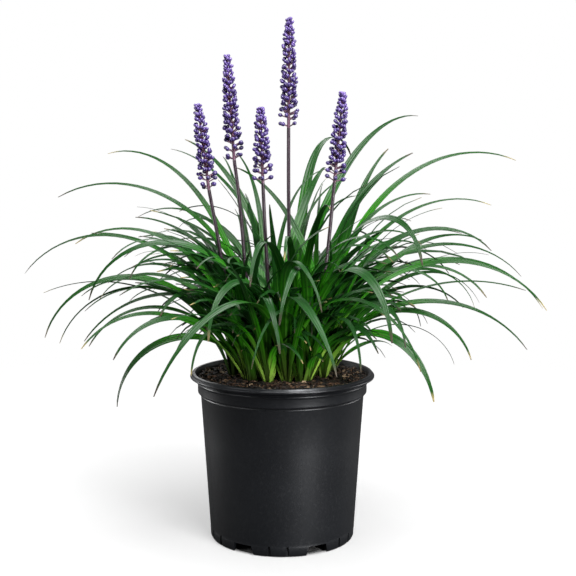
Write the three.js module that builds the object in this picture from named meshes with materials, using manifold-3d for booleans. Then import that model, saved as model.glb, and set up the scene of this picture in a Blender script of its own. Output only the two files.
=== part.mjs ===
// Liriope (lily turf) in a black nursery pot.
// Millimetres and degrees. The pot's axis is Z, its foot stands on z = 0 and its front faces -Y.
import * as THREE from 'three';
import { mergeVertices } from 'three/addons/utils/BufferGeometryUtils.js';
import Module from 'manifold-3d';

const wasm = await Module();
wasm.setup();

// ---------------------------------------------------------------- driving dimensions

const GAP = 0.3; // between pieces that touch on the real plant

const POT_SIDES = 32;
const POT_HEIGHT = 150;
const RIM_RADIUS = 82.5;
const LIP_RADIUS = 78; // of the lip's inner edge
const COLLAR_RADIUS = 75.7;
const SHOULDER_RADIUS = 73;
const LEDGE_HEIGHT = 132; // of the collar's underside
const SHOULDER_HEIGHT = LEDGE_HEIGHT - 1.2;
const FOOT_RADIUS = 65.2;
const FOOT_HEIGHT = 8.5;
const WALL = 1.6;
const FLOOR = 2;
const NOTCHES = 6;
const FIRST_NOTCH = -32; // degrees round from the front
const NOTCH_WIDTH = 17;
const NOTCH_FLARE = 2; // how much further each side of a notch leans out at the bottom
const RIB_OFFSETS = [-8, 6]; // grooves in each foot, degrees from its middle
const RIB_WIDTH = 3.4;
const RIB_DEPTH = 2;

const SOIL_EDGE = 145.6; // height of the soil at the wall
const SOIL_MOUND = 1.9; // how much higher it is in the middle
const SOIL_RADIUS = 75;
const SOIL_RINGS = [16, 32, 48, 61, 72]; // radii of the rings of points over it
const LUMP = 0.5; // height of its lumps

const CROWN_RADIUS = 6;
const CROWN_SIDES = 6;
const CROWN_BOTTOM = 124; // height of the bottom of a crown's hole
const CROWN_TOP = 159;

const ROOT_HEIGHT = 147; // height at which blades start inside their crown
const ROOT_OFFSET = 5.1; // how far from the crown's axis a level blade would start
const ROOT_LEAN = 0.02; // how much nearer the axis it starts for each degree of its launch
const SPINE_STEPS = 48; // short straight steps in each blade's middle line
const LAST_RING = 0.94; // how far along a blade its last ring is
const BASE_WIDTH = 0.55; // share of a blade's full width at its base
const SLIM_WIDTH = 4; // a blade this wide narrows evenly towards its tip
const FULL_WIDTH = 10; // one this wide keeps its width for longer
const TAPER = [1.2, 2.2]; // powers of the two tapers
const FOLD = [35, 10]; // how far each half of a blade stands up, at its base and past its middle
const BLADE_THICKNESS = 1.2;
const TIP_THICKNESS = 0.6; // share of that thickness left at the tip
const SAMPLE = 1.6; // spacing of the points at which blades are tested against each other
const CLEARANCE = 2.4; // between those points
const FREE_REACH = 24; // blades of one tuft may touch each other this close to their crown
const DRAWN_BLADES = 5; // blades that each tuft has besides its listed ones
const TRIES = 4; // blades drawn, at most, to find one that has room
const OUTER_TUFT = 25; // tufts further than this from the pot's axis lean outwards

const SCAPE_RADIUS = 1.8;
const SCAPE_TAPER = 0.85; // share of that radius left at the top
const SCAPE_SIDES = 8;
const SCAPE_STEPS = 8;
const SCAPE_BOTTOM = 130; // height of the bottom of a scape's hole

// Flower spikes. Pairs are the values at the foot and at the tip of a spike.
const RACHIS_RADIUS = [1.25, 0.7];
const RACHIS_SIDES = 6;
const BUD_REACH = [10, 7.2]; // from the spike's axis to the end of a bud
const BUD_SIZE = [5.7, 3.6];
const BUD_CLIMB = [32, 55]; // degrees up from square to the axis
const BUD_SIDES = 4;
const BUD_RISE = 3.1; // height along the spike for each bud
const GOLDEN_ANGLE = 137.508; // from each bud to the next, round the spike
const SPIKE_TURN = 40; // how far each spike is turned from the last
const SPIKE_CLEAR = [9.4, 6.6]; // radius round a spike that blades keep out of

// ---------------------------------------------------------------- small helpers

const radians = THREE.MathUtils.degToRad;
const mix = THREE.MathUtils.lerp;
const smooth = (t) => THREE.MathUtils.smoothstep(t, 0, 1);
const point3 = (coordinates) => new THREE.Vector3(...coordinates);

// A stream of seeded draws: draw(low, high) gives the next value.
function seededDraws(seed) {
  let state = seed >>> 0;
  return (low, high) => {
    state = (state + 0x6d2b79f5) >>> 0;
    let a = Math.imul(state ^ (state >>> 15), state | 1);
    a ^= a + Math.imul(a ^ (a >>> 7), a | 61);
    return low + (high - low) * (((a ^ (a >>> 14)) >>> 0) / 4294967296);
  };
}

// A closed three.js geometry as a manifold-3d solid.
function solid(geometry) {
  const bare = geometry.index ? geometry.clone() : geometry;
  bare.deleteAttribute('normal');
  bare.deleteAttribute('uv');
  const merged = mergeVertices(bare, 1e-4);
  const triVerts = new Uint32Array(merged.index.array);
  return new wasm.Manifold(
    new wasm.Mesh({ numProp: 3, vertProperties: merged.attributes.position.array, triVerts }),
  );
}

const join = (solids) => solids.reduce((sum, next) => sum.add(next));

// A named mesh of a solid.
function meshOf(name, made, material) {
  const { vertProperties, triVerts } = made.getMesh();
  const geometry = new THREE.BufferGeometry();
  geometry.setAttribute('position', new THREE.BufferAttribute(vertProperties, 3));
  geometry.setIndex(new THREE.BufferAttribute(triVerts, 1));
  geometry.computeVertexNormals();
  const mesh = new THREE.Mesh(geometry, material);
  mesh.name = name;
  return mesh;
}

// A solid turned about Z from an outline of [radius, height] pairs that starts and ends on the axis.
function turned(outline, sides) {
  const points = outline.map(([radius, height]) => new THREE.Vector2(radius, height));
  return new THREE.LatheGeometry(points, sides).rotateX(Math.PI / 2);
}

// A closed skin over rings of points, each ring with the same count, between two end points.
// Every ring runs anticlockwise seen from the end, so that the faces look outwards.
// Its quads are split by turns one way and the other, so that the two faces of a thin blade are split alike.
function skinned(start, rings, end) {
  const positions = [start, ...rings.flat(), end].flatMap((p) => [p.x, p.y, p.z]);
  const count = rings[0].length;
  const last = positions.length / 3 - 1;
  const faces = [];
  for (let i = 0; i < count; i++) {
    const j = (i + 1) % count;
    faces.push(0, 1 + j, 1 + i);
    for (let r = 0; r + 1 < rings.length; r++) {
      const low = 1 + r * count;
      const high = low + count;
      if (i % 2 === 0) {
        faces.push(low + i, low + j, high + j, low + i, high + j, high + i);
      } else {
        faces.push(low + i, low + j, high + i, low + j, high + j, high + i);
      }
    }
    faces.push(last - count + i, last - count + j, last);
  }
  const geometry = new THREE.BufferGeometry();
  geometry.setAttribute('position', new THREE.Float32BufferAttribute(positions, 3));
  geometry.setIndex(faces);
  return geometry;
}

// ---------------------------------------------------------------- pot

const innerWall = [
  [FOOT_RADIUS - WALL, FLOOR],
  [SHOULDER_RADIUS - WALL, SHOULDER_HEIGHT],
  [COLLAR_RADIUS - WALL - 0.1, LEDGE_HEIGHT + 3],
  [COLLAR_RADIUS - WALL, 139.5],
  [COLLAR_RADIUS - 1, 143],
  [LIP_RADIUS - 0.2, 149],
];

function potShell() {
  const outside = [
    [0, 0],
    [FOOT_RADIUS - 1.4, 0],
    [FOOT_RADIUS - 0.2, 2.2],
    [FOOT_RADIUS + 0.3, FOOT_HEIGHT],
    [FOOT_RADIUS, FOOT_HEIGHT + 0.8],
    [SHOULDER_RADIUS, SHOULDER_HEIGHT],
    [COLLAR_RADIUS - 0.7, LEDGE_HEIGHT],
    [COLLAR_RADIUS, LEDGE_HEIGHT + 1],
    [COLLAR_RADIUS, 140.2],
    [COLLAR_RADIUS + 1, 141.4],
    [COLLAR_RADIUS + 0.6, 142.8],
    [RIM_RADIUS - 1.4, 145.2],
    [RIM_RADIUS, 146.2],
    [RIM_RADIUS, 147.4],
    [RIM_RADIUS - 1.7, 149.6],
    [RIM_RADIUS - 2.6, POT_HEIGHT],
    [LIP_RADIUS + 0.4, POT_HEIGHT - 0.1],
  ];
  return solid(turned([...outside, ...innerWall.toReversed(), [0, FLOOR]], POT_SIDES));
}

// A bar that runs outwards along -Y from a start radius, then turned round to its angle.
function footCutter(bottomWidth, topWidth, height, startRadius, angle) {
  const below = 2;
  const slope = (bottomWidth - topWidth) / 2 / height;
  const shape = new THREE.Shape([
    new THREE.Vector2(-bottomWidth / 2 - slope * below, -below),
    new THREE.Vector2(bottomWidth / 2 + slope * below, -below),
    new THREE.Vector2(topWidth / 2, height),
    new THREE.Vector2(-topWidth / 2, height),
  ]);
  const bar = new THREE.ExtrudeGeometry(shape, { depth: 20, bevelEnabled: false });
  return solid(bar.rotateX(Math.PI / 2).translate(0, -startRadius, 0).rotateZ(radians(angle)));
}

function pot() {
  const cutters = [];
  for (let n = 0; n < NOTCHES; n++) {
    const angle = FIRST_NOTCH + (360 / NOTCHES) * n;
    const foot = angle + 180 / NOTCHES;
    const bottom = NOTCH_WIDTH + 2 * NOTCH_FLARE;
    cutters.push(footCutter(bottom, NOTCH_WIDTH, FOOT_HEIGHT, FOOT_RADIUS - 7, angle));
    for (const offset of RIB_OFFSETS) {
      const inner = FOOT_RADIUS - RIB_DEPTH;
      cutters.push(footCutter(RIB_WIDTH, RIB_WIDTH / 2, FOOT_HEIGHT + 1, inner, foot + offset));
    }
  }
  return potShell().subtract(join(cutters));
}

// ---------------------------------------------------------------- soil

// Height of the soil: a low mound with lumps.
function soilHeight(x, y) {
  const mound = SOIL_EDGE + SOIL_MOUND * (1 - (x * x + y * y) / SOIL_RADIUS ** 2);
  const lumps = Math.sin(x / 6.1 + 1.3) * Math.cos(y / 7.3) + 0.6 * Math.sin((x + y) / 3.7);
  return mound + LUMP * lumps;
}

function soilBody() {
  const ring = (radius, heightAt) => {
    return Array.from({ length: POT_SIDES }, (_, i) => {
      const turn = (2 * Math.PI * i) / POT_SIDES;
      const x = radius * Math.sin(turn);
      const y = -radius * Math.cos(turn);
      return new THREE.Vector3(x, y, heightAt(x, y));
    });
  };
  const belowTop = innerWall.filter(([, height]) => height < SOIL_EDGE - 1);
  const side = belowTop.map(([radius, height]) => ring(radius - GAP, () => height + GAP));
  const edge = COLLAR_RADIUS - GAP;
  const top = [edge, ...SOIL_RINGS.toReversed()].map((radius) => ring(radius, soilHeight));
  const bottom = new THREE.Vector3(0, 0, FLOOR + GAP);
  const middle = new THREE.Vector3(0, 0, soilHeight(0, 0));
  return solid(skinned(bottom, [...side, ...top], middle));
}

// A plain blind hole at (x, y), from its bottom to above the soil.
function hole(x, y, bottom, radius, sides) {
  const height = POT_HEIGHT - bottom;
  const plug = new THREE.CylinderGeometry(radius, radius, height, sides);
  return solid(plug.rotateX(Math.PI / 2).translate(x, y, bottom + height / 2));
}

function soil() {
  const crownHoles = tufts.map(({ at: [x, y] }) => {
    return hole(x, y, CROWN_BOTTOM, CROWN_RADIUS + 1.3 * GAP, CROWN_SIDES);
  });
  const scapeHoles = scapes.map(({ root: [x, y] }) => {
    return hole(x, y, SCAPE_BOTTOM, SCAPE_RADIUS + 2.5 * GAP, SCAPE_SIDES);
  });
  return soilBody().subtract(join([...crownHoles, ...scapeHoles]));
}

// ---------------------------------------------------------------- flower stems and spikes

// Each scape: the middle line from its hole in the soil to the foot of its spike, then the spike's tip.
const scapes = [
  {
    root: [-35, -9],
    path: [[-38, -9, 172], [-50, -9, 232], [-57.5, -9, 276], [-64, -9, 312]],
    tip: [-73.5, -9, 387],
  },
  {
    root: [-24, -6],
    path: [[-25.5, -6, 172], [-32, -6, 236], [-37.5, -6, 302], [-42, -6, 338]],
    tip: [-48, -6, 429],
  },
  {
    root: [-9, -23],
    path: [[-10, -23, 180], [-12, -23, 225], [-15, -23, 280], [-16.7, -23, 318.5]],
    tip: [-18.5, -23, 383.5],
  },
  {
    root: [6.5, 0],
    path: [[6.5, 0, 190], [6, 0, 260], [5.5, 0, 320], [5.5, 0, 366]],
    tip: [6, 0, 461.5],
  },
  {
    root: [26, -19.5],
    path: [[28, -19.5, 172], [34.5, -19.5, 220], [39, -19.5, 255], [45, -19.5, 319]],
    tip: [52, -19.5, 396.5],
  },
];

for (const scape of scapes) {
  const inHole = [SCAPE_BOTTOM + GAP, POT_HEIGHT + 2].map((height) => [...scape.root, height]);
  scape.curve = new THREE.CatmullRomCurve3([...inHole, ...scape.path].map(point3));
  scape.top = scape.curve.getPoint(1);
  scape.spikeTip = point3(scape.tip);
}

// A ring of points round a centre, square to a direction.
function ringAround(centre, direction, radius, sides) {
  const turn = new THREE.Quaternion().setFromUnitVectors(new THREE.Vector3(0, 0, 1), direction);
  return Array.from({ length: sides }, (_, i) => {
    const angle = (2 * Math.PI * i) / sides;
    const spoke = new THREE.Vector3(Math.cos(angle) * radius, Math.sin(angle) * radius, 0);
    return spoke.applyQuaternion(turn).add(centre);
  });
}

function scapeStem({ curve }) {
  const rings = [];
  for (let i = 0; i <= SCAPE_STEPS; i++) {
    const t = i / SCAPE_STEPS;
    const radius = SCAPE_RADIUS * mix(1, SCAPE_TAPER, t);
    rings.push(ringAround(curve.getPoint(t), curve.getTangent(t), radius, SCAPE_SIDES));
  }
  return solid(skinned(curve.getPoint(0), rings, curve.getPoint(1)));
}

// A bud on its stalk: starts as a point at the spike's axis and swells near its end.
function bud(axisPoint, outwards, reach, size) {
  const at = (distance) => axisPoint.clone().addScaledVector(outwards, distance);
  const neck = ringAround(at(reach - size * 1.05), outwards, size * 0.2, BUD_SIDES);
  const belly = ringAround(at(reach - size * 0.45), outwards, size * 0.5, BUD_SIDES);
  return solid(skinned(axisPoint, [neck, belly], at(reach)));
}

function raceme({ top, spikeTip }, index) {
  const along = spikeTip.clone().sub(top);
  const length = along.length() - GAP;
  along.normalize();
  const foot = top.clone().addScaledVector(along, GAP);
  const at = (t) => foot.clone().addScaledVector(along, length * t);
  const rachis = [0, 0.5, 0.93].map((t) => ringAround(at(t), along, mix(...RACHIS_RADIUS, t), RACHIS_SIDES));
  const pieces = [solid(skinned(foot, rachis, at(1)))];
  const across = new THREE.Vector3(0, 1, 0).cross(along).normalize();
  const count = Math.round(length / BUD_RISE);
  for (let n = 0; n < count; n++) {
    const t = (n + 0.6) / count;
    const climb = radians(mix(...BUD_CLIMB, t * t));
    const turn = radians(GOLDEN_ANGLE * n + SPIKE_TURN * index);
    const outwards = across.clone().applyAxisAngle(along, turn).multiplyScalar(Math.cos(climb));
    outwards.addScaledVector(along, Math.sin(climb));
    pieces.push(bud(at(t * 0.94), outwards, mix(...BUD_REACH, t ** 2.2), mix(...BUD_SIZE, t ** 1.5)));
  }
  return join(pieces);
}

// ---------------------------------------------------------------- leaf blades

// A blade leaves its crown on a heading (0 is +X, 90 is +Y), climbs at its launch angle and bends over to its
// tip angle. A larger bend keeps it straight for longer, and sway swings its heading by the tip.
// Rows of a tuft: [heading, length, launch, tip, bend, sway, width].
const tufts = [
  {
    at: [-38, 4],
    blades: [
      [182, 269, 80, -53, 1.4, -4, 5.5],
      [170, 192, 88, -45, 1.3, 13, 5],
      [195, 236, 73, -74, 1.4, 0, 7],
      [190, 188, 88, -42, 1.8, -25, 5.5],
    ],
  },
  {
    at: [-30, -22],
    blades: [
      [215, 166, 69, -60, 1.3, 2, 7],
      [188, 164, 84, -87, 0.8, 0, 9],
      [204, 180, 66, -50, 1.4, 10, 5.5],
      [179, 227, 80, -36, 1.8, 17, 5.5],
    ],
  },
  {
    at: [-12, -36],
    blades: [
      [207, 186, 85, -31, 1.2, 0, 5.5],
      [265, 187, 74, -77, 1.7, 27, 8.5],
      [199, 101, 88, -9, 0.9, 65, 4.5],
      [194, 253, 88, -76, 1.5, 0, 7],
    ],
  },
  {
    at: [4, -38],
    blades: [
      [263, 216, 77, -78, 2.1, 46, 8],
      [267, 228, 72, -74, 1.4, 46, 10],
      [233, 198, 88, -87, 1.6, 15, 8.5],
      [255, 262, 73, -65, 1.2, -38, 8.5],
    ],
  },
  {
    at: [22, -32],
    blades: [
      [295, 235, 88, -78, 1.4, -4, 10],
      [322, 177, 75, -59, 1.4, -47, 6.5],
      [331, 264, 66, -57, 1.6, 20, 6],
      [9, 264, 78, -47, 1.3, 7, 5.5],
      [336, 227, 73, -54, 1.1, 7, 6],
      [270, 221, 83, -79, 1.9, -26, 8.5],
    ],
  },
  {
    at: [36, -16],
    blades: [
      [336, 176, 73, -73, 1.3, 0, 8],
      [321, 169, 69, -77, 1.1, 0, 9],
      [336, 185, 87, -77, 1.8, 0, 6],
    ],
  },
  {
    at: [42, 8],
    blades: [
      [20, 77, 56, -34, 1.2, 29, 4.5],
      [155, 232, 88, 10, 1.7, -28, 6],
      [21, 153, 88, -50, 1.8, 0, 4.5],
    ],
  },
  {
    at: [30, 30],
    blades: [
      [17, 321, 83, -21, 1.6, 0, 6],
      [29, 239, 84, 20, 1.5, 0, 9],
      [3, 204, 84, -19, 1.9, 0, 5.5],
      [36, 226, 77, 34, 3.5, 0, 8.5],
      [4, 278, 71, -57, 1.2, 0, 6],
      [131, 314, 65, 6, 1.6, 0, 5],
    ],
  },
  {
    at: [8, 40],
    blades: [
      [36, 192, 82, 0, 2.6, 0, 5],
      [46, 211, 88, 7, 1.9, 0, 4.5],
      [132, 278, 78, 14, 1.6, 0, 7],
      [157, 208, 80, 9, 1.2, 0, 5.5],
      [145, 245, 76, -29, 2.1, 18, 5.5],
      [91, 308, 76, -62, 4, -26, 9.5],
    ],
  },
  {
    at: [-18, 35],
    blades: [
      [104, 278, 63, 11, 2.1, 0, 5.5],
      [174, 195, 77, 1, 1.8, 0, 6],
      [199, 211, 78, -54, 1, 0, 5.5],
      [184, 196, 60, -45, 1.5, 0, 5.5],
    ],
  },
  {
    at: [-34, 24],
    blades: [
      [201, 147, 74, -46, 1.8, 0, 4.5],
      [198, 179, 61, -57, 1.4, 17, 5.5],
    ],
  },
  {
    at: [-14, -10],
    blades: [
      [57, 271, 77, -1, 1.6, 21, 8],
      [47, 340, 69, -3, 2.6, 0, 8],
      [63, 220, 83, 2, 3.1, -22, 4.5],
    ],
  },
  {
    at: [12, -12],
    blades: [
      [8, 200, 81, -50, 2.5, 0, 5],
      [252, 227, 77, -74, 2.3, 7, 8.5],
      [350, 241, 68, -49, 2.3, 0, 7],
      [317, 265, 76, -68, 2.2, -31, 9],
      [154, 154, 88, -39, 2.3, 0, 5],
    ],
  },
  {
    at: [14, 12],
    blades: [
      [17, 221, 74, -8, 2.6, 0, 6],
      [349, 183, 88, -49, 2, 0, 5.5],
      [345, 225, 58, -54, 2.2, 0, 7],
      [13, 257, 71, -22, 2.2, -14, 5.5],
    ],
  },
  {
    at: [-12, 12],
    blades: [
      [156, 284, 74, -15, 2.6, 0, 6],
      [165, 288, 81, -30, 1.7, 0, 5.5],
      [95, 256, 78, 22, 1.3, 19, 6],
    ],
  },
];

// The middle line of a blade, as frames: a point with the directions along, across and out of its upper face.
function spineOf([x, y], blade) {
  const { heading, length, launch, tip, bend, sway, twist } = blade;
  const start = radians(heading);
  const out = ROOT_OFFSET - ROOT_LEAN * launch;
  const point = new THREE.Vector3(x + out * Math.cos(start), y + out * Math.sin(start), ROOT_HEIGHT);
  const direction = (t) => {
    const pitch = radians(launch + (tip - launch) * t ** bend);
    const yaw = radians(heading + sway * t * t);
    const level = new THREE.Vector3(Math.cos(yaw), Math.sin(yaw), 0);
    const along = level.multiplyScalar(Math.cos(pitch)).setZ(Math.sin(pitch));
    return { along, across: new THREE.Vector3(-Math.sin(yaw), Math.cos(yaw), 0) };
  };
  const frames = [];
  for (let i = 0; i <= SPINE_STEPS; i++) {
    const t = i / SPINE_STEPS;
    const { along, across } = direction(t);
    across.applyAxisAngle(along, radians(twist * smooth(t / 0.6)));
    frames.push({ t, point: point.clone(), across, up: along.clone().cross(across) });
    point.addScaledVector(direction(t + 0.5 / SPINE_STEPS).along, length / SPINE_STEPS);
  }
  return frames;
}

// Share of its full width that a blade has at t along it: slim at the base, then a long taper to the tip.
function widthShare(t, width) {
  const power = mix(...TAPER, (width - SLIM_WIDTH) / (FULL_WIDTH - SLIM_WIDTH));
  return mix(BASE_WIDTH, 1, smooth(t / 0.3)) * (1 - Math.max(0, (t - 0.38) / 0.62) ** power);
}

// Steps of the spine at which a blade gets a ring, closer together where it bends.
function ringSteps({ launch, tip, bend }) {
  const count = THREE.MathUtils.clamp(Math.round((launch - tip) / 25) + 2, 4, 8);
  const steps = [0];
  for (let i = 1; i <= SPINE_STEPS * LAST_RING; i++) {
    const t = i / SPINE_STEPS;
    if ((t + t ** bend) / 2 >= (steps.length * LAST_RING) / count) {
      steps.push(i);
    }
  }
  return steps;
}

// Corners of a blade's section: its two edges stand up from a channel over a keel.
function sectionOf(frame, width) {
  const half = (width * widthShare(frame.t, width)) / 2;
  const fold = radians(mix(...FOLD, smooth(frame.t / 0.5)));
  const thick = BLADE_THICKNESS * mix(1, TIP_THICKNESS, frame.t);
  const corner = (across, up) => {
    return frame.point.clone().addScaledVector(frame.across, across).addScaledVector(frame.up, up);
  };
  const rise = half * Math.sin(fold);
  return [
    corner(half * Math.cos(fold), rise),
    corner(0, thick / 2),
    corner(-half * Math.cos(fold), rise),
    corner(0, -thick / 2),
  ];
}

function shapeBlade(at, blade) {
  const frames = spineOf(at, blade);
  const rings = ringSteps(blade).map((step) => sectionOf(frames[step], blade.width));
  return { rings, start: frames[0].point, tip: frames[SPINE_STEPS].point };
}

// Points over a blade's face, close enough together that nothing crosses it between them.
function samplesOf({ rings, tip }) {
  const stations = [...rings, [tip, tip, tip, tip]];
  const points = [];
  for (let r = 0; r + 1 < stations.length; r++) {
    const steps = Math.ceil(stations[r][1].distanceTo(stations[r + 1][1]) / SAMPLE);
    for (let s = 0; s < steps; s++) {
      const between = (corner) => stations[r][corner].clone().lerp(stations[r + 1][corner], s / steps);
      const [left, middle, right] = [0, 1, 2].map(between);
      const columns = Math.ceil(left.distanceTo(middle) / SAMPLE);
      points.push(middle);
      for (let c = 1; c <= columns; c++) {
        points.push(middle.clone().lerp(left, c / columns), middle.clone().lerp(right, c / columns));
      }
    }
  }
  points.push(tip);
  return points;
}

// ---------------------------------------------------------------- keeping the tufts clear of each other

// What stands up in the clump: segments with the radius to keep clear of at each end.
const posts = tufts.map(({ at }, owner) => ({
  owner,
  from: point3([...at, CROWN_BOTTOM]),
  to: point3([...at, CROWN_TOP]),
  radii: [CROWN_RADIUS, CROWN_RADIUS],
}));
for (const { curve, top, spikeTip } of scapes) {
  const line = curve.getPoints(12);
  for (let i = 0; i + 1 < line.length; i++) {
    posts.push({ from: line[i], to: line[i + 1], radii: [SCAPE_RADIUS, SCAPE_RADIUS] });
  }
  posts.push({ from: top, to: spikeTip, radii: SPIKE_CLEAR });
}

const nearest = new THREE.Vector3();

function hitsPost(point, owner) {
  return posts.some(({ owner: holder, from, to, radii }) => {
    const widest = SPIKE_CLEAR[0] + 1;
    if (holder === owner || point.z > to.z + widest || point.z < from.z - widest) {
      return false;
    }
    const share = THREE.MathUtils.clamp((point.z - from.z) / (to.z - from.z), 0, 1);
    const reach = mix(...radii, share) + BLADE_THICKNESS / 2 + SAMPLE / 2;
    return nearest.lerpVectors(from, to, share).distanceTo(point) < reach;
  });
}

function hitsPotOrSoil(point, [x, y]) {
  const radius = Math.hypot(point.x, point.y);
  if (radius > RIM_RADIUS + CLEARANCE || point.z > POT_HEIGHT + CLEARANCE) {
    return false;
  }
  const inCrown = Math.hypot(point.x - x, point.y - y) < CROWN_RADIUS + 1;
  return radius > SOIL_RINGS.at(-1) || (!inCrown && point.z < soilHeight(point.x, point.y) + SAMPLE);
}

// Sample points of the blades placed so far, by cells that are CLEARANCE wide.
const taken = new Map();
const CELLS = 4096; // along each axis
const cellKey = (i, j, k) => (i * CELLS + j) * CELLS + k;
const cellOf = ({ x, y, z }) => [x, y, z].map((value) => Math.floor(value / CLEARANCE) + CELLS / 2);

function take(owner, point) {
  const key = cellKey(...cellOf(point));
  if (!taken.has(key)) {
    taken.set(key, []);
  }
  taken.get(key).push({ owner, point });
}

// Whether a point is too close to a blade of another tuft or, away from the crown, of its own.
function hitsBlade(point, owner, root) {
  const [i, j, k] = cellOf(point);
  const free = root.distanceTo(point) < FREE_REACH ? owner : null;
  for (let n = 0; n < 27; n++) {
    const key = cellKey(i + (n % 3) - 1, j + (Math.floor(n / 3) % 3) - 1, k + Math.floor(n / 9) - 1);
    const others = taken.get(key) ?? [];
    if (others.some((other) => other.owner !== free && other.point.distanceTo(point) < CLEARANCE)) {
      return true;
    }
  }
  return false;
}

// 0, step, -step, 2 * step, -2 * step ... up to a limit.
function bothWays(limit, step) {
  const offsets = [0];
  for (let offset = step; offset <= limit; offset += step) {
    offsets.push(offset, -offset);
  }
  return offsets;
}

// Turns a blade aside or lifts it, a little more each time, until it is clear of its neighbours.
function placeBlade(owner, blade) {
  const { at, placed } = tufts[owner];
  for (const lift of bothWays(9, 3)) {
    for (const turn of bothWays(18, 2)) {
      const { heading, launch } = blade;
      const shape = shapeBlade(at, { ...blade, heading: heading + turn, launch: launch + lift });
      const samples = samplesOf(shape);
      const blocked = samples.some((point) => {
        return hitsPotOrSoil(point, at) || hitsBlade(point, owner, shape.start) || hitsPost(point, owner);
      });
      if (!blocked) {
        samples.forEach((point) => take(owner, point));
        placed.push(shape);
        return true;
      }
    }
  }
  return false;
}

tufts.forEach((tuft, owner) => {
  tuft.placed = [];
  const draw = seededDraws(500 + owner);
  for (const [heading, length, launch, tip, bend, sway, width] of tuft.blades) {
    // blades to either side turn their upper face a little to the front
    const twist = draw(10, 50) * Math.cos(radians(heading));
    placeBlade(owner, { heading, length, launch, tip, bend, sway, width, twist });
  }
});

// A drawn blade of a tuft: outer tufts lean outwards, inner ones any way.
function drawnBlade([x, y], draw) {
  const outer = Math.hypot(x, y) > OUTER_TUFT;
  const outwards = THREE.MathUtils.radToDeg(Math.atan2(y, x));
  return {
    heading: outwards + (outer ? draw(-65, 65) : draw(-180, 180)),
    length: outer ? draw(130, 230) : draw(150, 240),
    launch: outer ? draw(66, 88) : draw(76, 89),
    tip: draw(-75, 10),
    bend: draw(1.1, 2.2),
    sway: draw(-20, 20),
    width: draw(4.5, 6.5),
    twist: draw(-50, 50),
  };
}

for (let n = 0; n < DRAWN_BLADES; n++) {
  tufts.forEach(({ at }, owner) => {
    const draw = seededDraws(1000 + 20 * owner + n);
    for (let tries = 0; tries < TRIES; tries++) {
      if (placeBlade(owner, drawnBlade(at, draw))) {
        return;
      }
    }
  });
}

function crown([x, y]) {
  const outline = [
    [0, CROWN_BOTTOM + GAP],
    [CROWN_RADIUS - 1, CROWN_BOTTOM + GAP],
    [CROWN_RADIUS, ROOT_HEIGHT + 2],
    [CROWN_RADIUS / 2, CROWN_TOP],
    [0, CROWN_TOP + 0.5],
  ];
  return solid(turned(outline, CROWN_SIDES).translate(x, y, 0));
}

function tuftBody({ at, placed }) {
  return join([crown(at), ...placed.map(({ rings, start, tip }) => solid(skinned(start, rings, tip)))]);
}

// ---------------------------------------------------------------- the plant in its pot

const potBlack = { color: 0x1b1c1e, roughness: 0.45, metalness: 0 };
const bark = { color: 0x2e2018, roughness: 0.95, metalness: 0 };
const leafGreen = { color: 0x2f6b2c, roughness: 0.45, metalness: 0 };
const stemPurple = { color: 0x43304a, roughness: 0.5, metalness: 0 };
const budViolet = { color: 0x5a4bb0, roughness: 0.5, metalness: 0 };

const plant = new THREE.Group();

function addPiece(name, made, look) {
  plant.add(meshOf(name, made, new THREE.MeshStandardMaterial(look)));
}

addPiece('pot', pot(), potBlack);
addPiece('soil', soil(), bark);
tufts.forEach((tuft, i) => addPiece(`tuft_${i + 1}`, tuftBody(tuft), leafGreen));
scapes.forEach((scape, i) => {
  addPiece(`scape_${i + 1}`, scapeStem(scape), stemPurple);
  addPiece(`raceme_${i + 1}`, raceme(scape, i), budViolet);
});

export default plant;
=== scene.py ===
"""Looks of a liriope (lily turf) clump in its black nursery pot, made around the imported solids.

Named sizes are in millimetres and angles in degrees. Meshes are in metres. The pot's axis is Z, its foot
stands on z = 0 and its front faces -Y.
"""

import math
import random
from collections import namedtuple

import bpy
import numpy as np
from mathutils import Matrix, Vector, kdtree, noise


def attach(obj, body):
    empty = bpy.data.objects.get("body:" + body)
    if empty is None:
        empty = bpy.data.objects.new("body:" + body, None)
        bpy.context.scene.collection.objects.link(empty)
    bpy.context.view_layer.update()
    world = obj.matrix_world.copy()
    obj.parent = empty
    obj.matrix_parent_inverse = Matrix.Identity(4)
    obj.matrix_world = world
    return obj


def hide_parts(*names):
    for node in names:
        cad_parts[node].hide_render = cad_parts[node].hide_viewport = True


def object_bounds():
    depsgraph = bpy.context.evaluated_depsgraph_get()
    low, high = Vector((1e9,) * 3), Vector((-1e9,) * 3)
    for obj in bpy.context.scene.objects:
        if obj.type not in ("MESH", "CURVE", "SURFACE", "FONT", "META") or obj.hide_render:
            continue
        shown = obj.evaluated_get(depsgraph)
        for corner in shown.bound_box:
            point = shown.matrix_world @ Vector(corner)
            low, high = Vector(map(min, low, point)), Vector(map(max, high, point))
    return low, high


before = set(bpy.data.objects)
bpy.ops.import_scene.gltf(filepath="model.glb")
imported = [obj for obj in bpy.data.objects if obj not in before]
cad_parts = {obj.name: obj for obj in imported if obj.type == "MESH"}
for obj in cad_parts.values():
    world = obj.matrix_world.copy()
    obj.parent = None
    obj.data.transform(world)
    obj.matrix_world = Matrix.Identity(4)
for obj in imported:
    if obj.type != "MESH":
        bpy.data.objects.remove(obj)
solid_box = [list(corner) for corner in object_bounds()]

MM = 0.001

# -------- driving dimensions

GAP = 0.3  # between pieces that touch

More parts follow.
